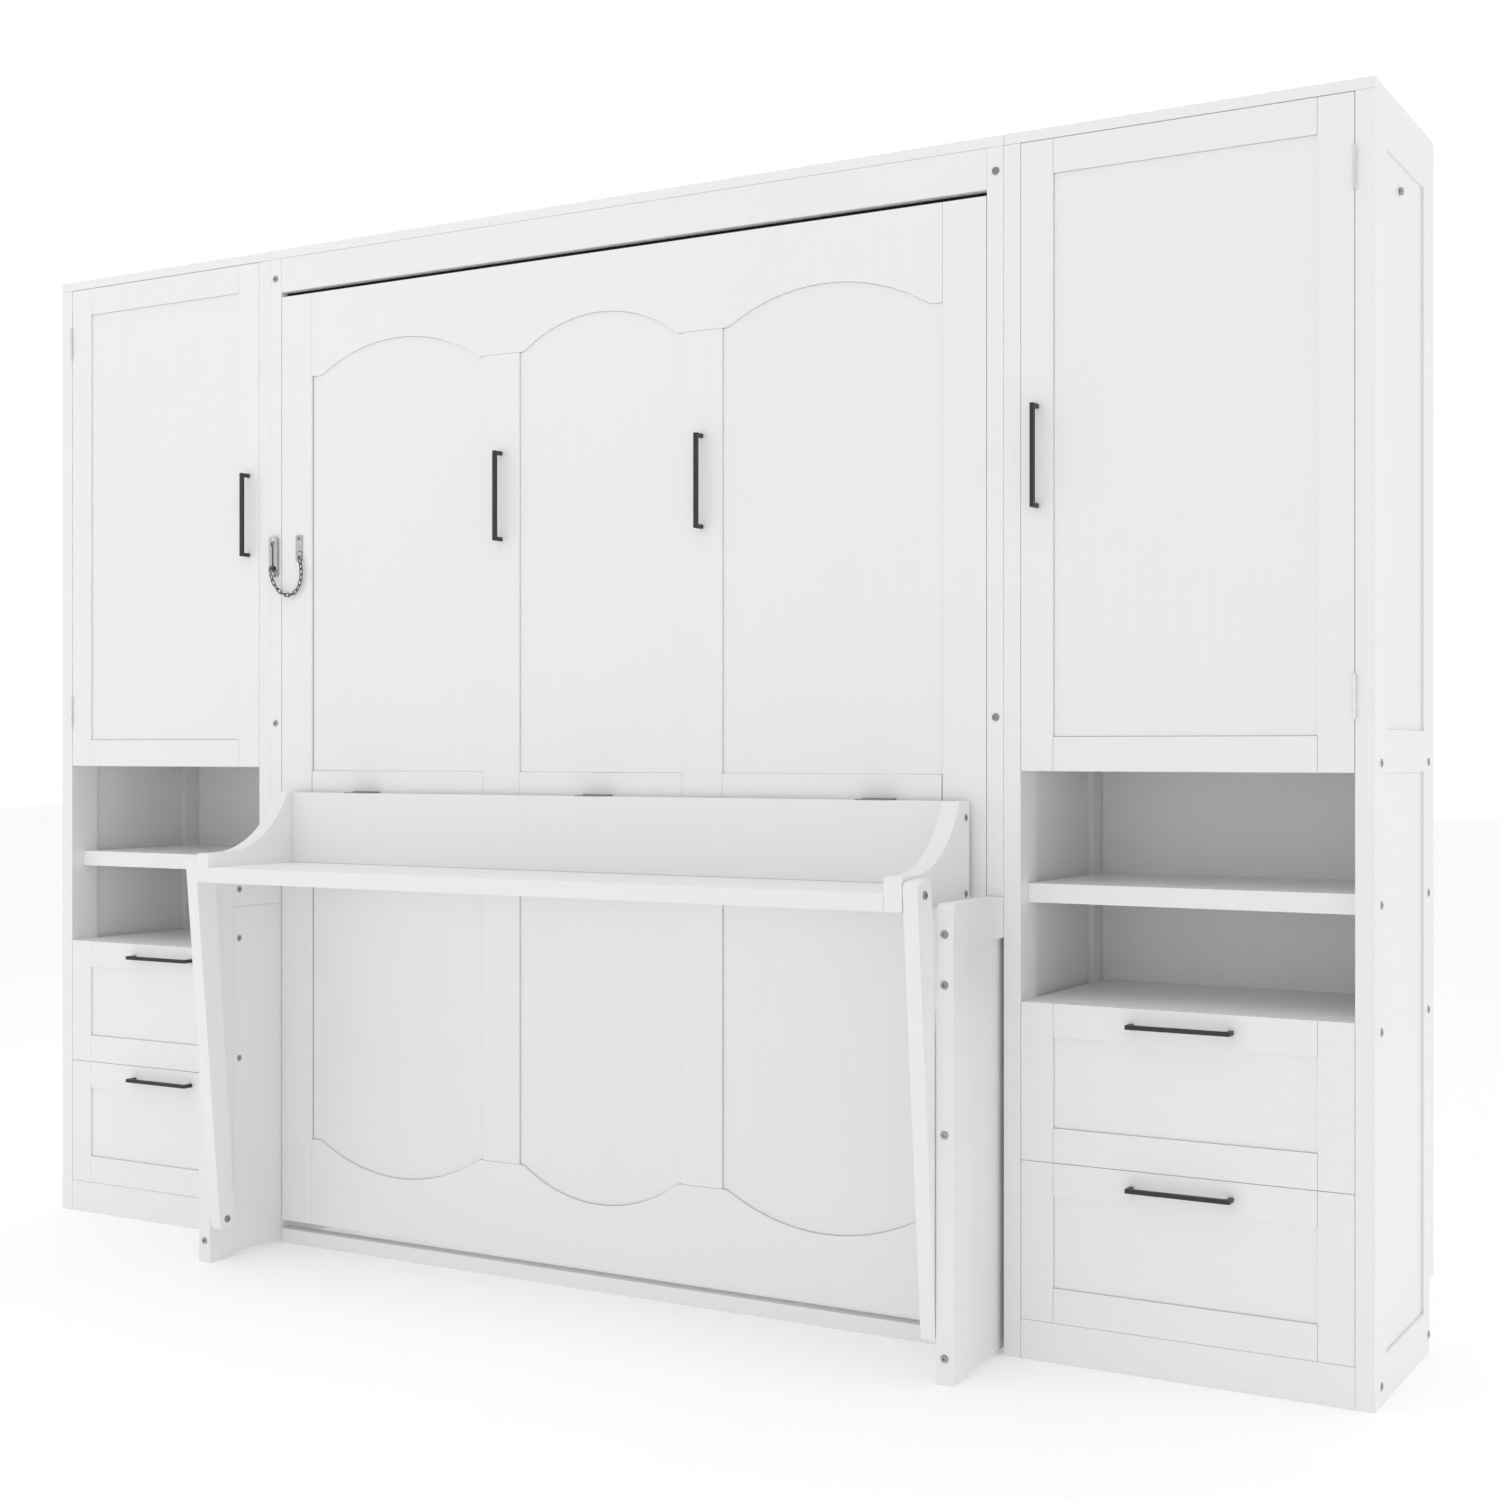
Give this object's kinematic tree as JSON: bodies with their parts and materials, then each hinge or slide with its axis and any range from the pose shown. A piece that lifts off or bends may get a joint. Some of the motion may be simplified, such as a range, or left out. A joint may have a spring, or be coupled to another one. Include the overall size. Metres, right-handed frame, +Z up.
{
  "type": "murphy wall bed",
  "caption": "White fold-down wall bed between wardrobe and drawer cabinets, with a self-levelling front shelf that becomes the foot of the lowered bed.",
  "frame": {"origin": "on the floor, under the middle of the whole unit's box", "axes": "+X along the wall to the right as seen from the room, +Y into the wall, +Z up"},
  "size_m": [3.1232, 0.744, 2.23],
  "materials": {
    "white_painted_wood": "satin white paint over wood",
    "black_metal": "matt black powder coat",
    "chrome": "bright chrome plate",
    "nickel": "satin nickel plate",
    "zinc_steel": "zinc plated steel",
    "strut_black": "gloss black enamel",
    "slat_wood": "bare pine, planed"
  },
  "bodies": {
    "root": {"cabinet_outer_side_left": "white_painted_wood", "cabinet_inner_side_left": "white_painted_wood", "cabinet_floors_left": "white_painted_wood", "cabinet_back_left": "white_painted_wood", "cabinet_outer_side_right": "white_painted_wood", "cabinet_inner_side_right": "white_painted_wood", "cabinet_floors_right": "white_painted_wood", "cabinet_back_right": "white_painted_wood", "cabinet_tops": "white_painted_wood", "cabinet_plinths": "white_painted_wood", "niche_shelves": "white_painted_wood", "clothes_rails": "chrome", "post_hinge_leaves": "nickel", "drawer_runners": "zinc_steel", "centre_lower_side_left": "white_painted_wood", "centre_upper_side_left": "white_painted_wood", "centre_lower_side_right": "white_painted_wood", "centre_upper_side_right": "white_painted_wood", "header_rail": "white_painted_wood", "base_rail": "white_painted_wood", "centre_top": "white_painted_wood", "centre_back_rails": "white_painted_wood", "bed_pivot_plates": "zinc_steel", "frame_bolts": "chrome", "strut_studs": "zinc_steel", "chain_track": "chrome"},
    "bed": {"bed_face_frame": "white_painted_wood", "bed_face_panels": "white_painted_wood", "bed_pull_handles": "black_metal", "bed_box_rails": "white_painted_wood", "bed_slats": "slat_wood", "bed_centre_beam": "slat_wood", "bed_pivot_pins": "zinc_steel", "bed_hinge_leaves": "nickel", "chain_anchor": "chrome", "chain_links": "chrome"},
    "shelf": {"shelf_cheeks": "white_painted_wood", "shelf_back_board": "white_painted_wood", "shelf_board": "white_painted_wood", "shelf_bolts": "chrome", "shelf_hinge_leaves": "nickel"},
    "arms": {"arm_left": "white_painted_wood", "arm_right": "white_painted_wood"},
    "strut_cylinders": {"strut_cylinders": "strut_black"},
    "strut_rods": {"strut_rods": "zinc_steel"},
    "chain_slider": {"chain_slider": "chrome"},
    "door_left": {"door_left": "white_painted_wood", "door_handle_left": "black_metal", "door_hinge_leaves_left": "nickel"},
    "door_right": {"door_right": "white_painted_wood", "door_handle_right": "black_metal", "door_hinge_leaves_right": "nickel"},
    "drawer_upper_left": {"drawer_upper_left": "white_painted_wood", "drawer_handle_upper_left": "black_metal"},
    "drawer_upper_right": {"drawer_upper_right": "white_painted_wood", "drawer_handle_upper_right": "black_metal"},
    "drawer_lower_left": {"drawer_lower_left": "white_painted_wood", "drawer_handle_lower_left": "black_metal"},
    "drawer_lower_right": {"drawer_lower_right": "white_painted_wood", "drawer_handle_lower_right": "black_metal"}
  },
  "joints": [
    {"name": "bed_hinge", "type": "hinge", "parent": "root", "child": "bed", "pos_m": [0, -0.018, 0.252], "axis": [1, 0, 0], "range_deg": [0, 90], "stiffness_Nm_per_rad": 200, "springref_deg": -17.19},
    {"name": "shelf_hinge", "type": "hinge", "parent": "bed", "child": "shelf", "pos_m": [0, -0.082, 1.012], "axis": [1, 0, 0], "range_deg": [-90, 0]},
    {"name": "arm_hinge", "type": "hinge", "parent": "root", "child": "arms", "pos_m": [0, -0.278, 0.095], "axis": [1, 0, 0], "range_deg": [0, 90]},
    {"name": "strut_cylinder_hinge", "type": "hinge", "parent": "root", "child": "strut_cylinders", "pos_m": [0, 0.314, 0.929], "axis": [1, 0, 0], "range_deg": [0, 1.94]},
    {"name": "strut_rod_slide", "type": "slide", "parent": "strut_cylinders", "child": "strut_rods", "axis": [0, 0.3087, 0.9512], "range_m": [0, 0.23525]},
    {"name": "door_left_hinge", "type": "hinge", "parent": "root", "child": "door_left", "pos_m": [-1.5264, -0.0813, 1.638], "axis": [0, 0, -1], "range_deg": [0, 110]},
    {"name": "door_right_hinge", "type": "hinge", "parent": "root", "child": "door_right", "pos_m": [1.5264, -0.0813, 1.638], "axis": [0, 0, 1], "range_deg": [0, 110]},
    {"name": "drawer_upper_left_slide", "type": "slide", "parent": "root", "child": "drawer_upper_left", "axis": [0, -1, 0], "range_m": [0, 0.3]},
    {"name": "drawer_upper_right_slide", "type": "slide", "parent": "root", "child": "drawer_upper_right", "axis": [0, -1, 0], "range_m": [0, 0.3]},
    {"name": "drawer_lower_left_slide", "type": "slide", "parent": "root", "child": "drawer_lower_left", "axis": [0, -1, 0], "range_m": [0, 0.3]},
    {"name": "drawer_lower_right_slide", "type": "slide", "parent": "root", "child": "drawer_lower_right", "axis": [0, -1, 0], "range_m": [0, 0.3]},
    {"name": "chain_slider_slide", "type": "slide", "parent": "root", "child": "chain_slider", "axis": [0, 0, 1], "range_m": [0, 0.054]}
  ],
  "couplings": [
    {"joint": "shelf_hinge", "follows": "bed_hinge", "ratio": -1},
    {"joint": "arm_hinge", "follows": "bed_hinge", "ratio": 1},
    {"joint": "strut_cylinder_hinge", "follows": "bed_hinge", "ratio": 0.021369},
    {"joint": "strut_rod_slide", "follows": "bed_hinge", "m_per_rad": 0.14945}
  ]
}
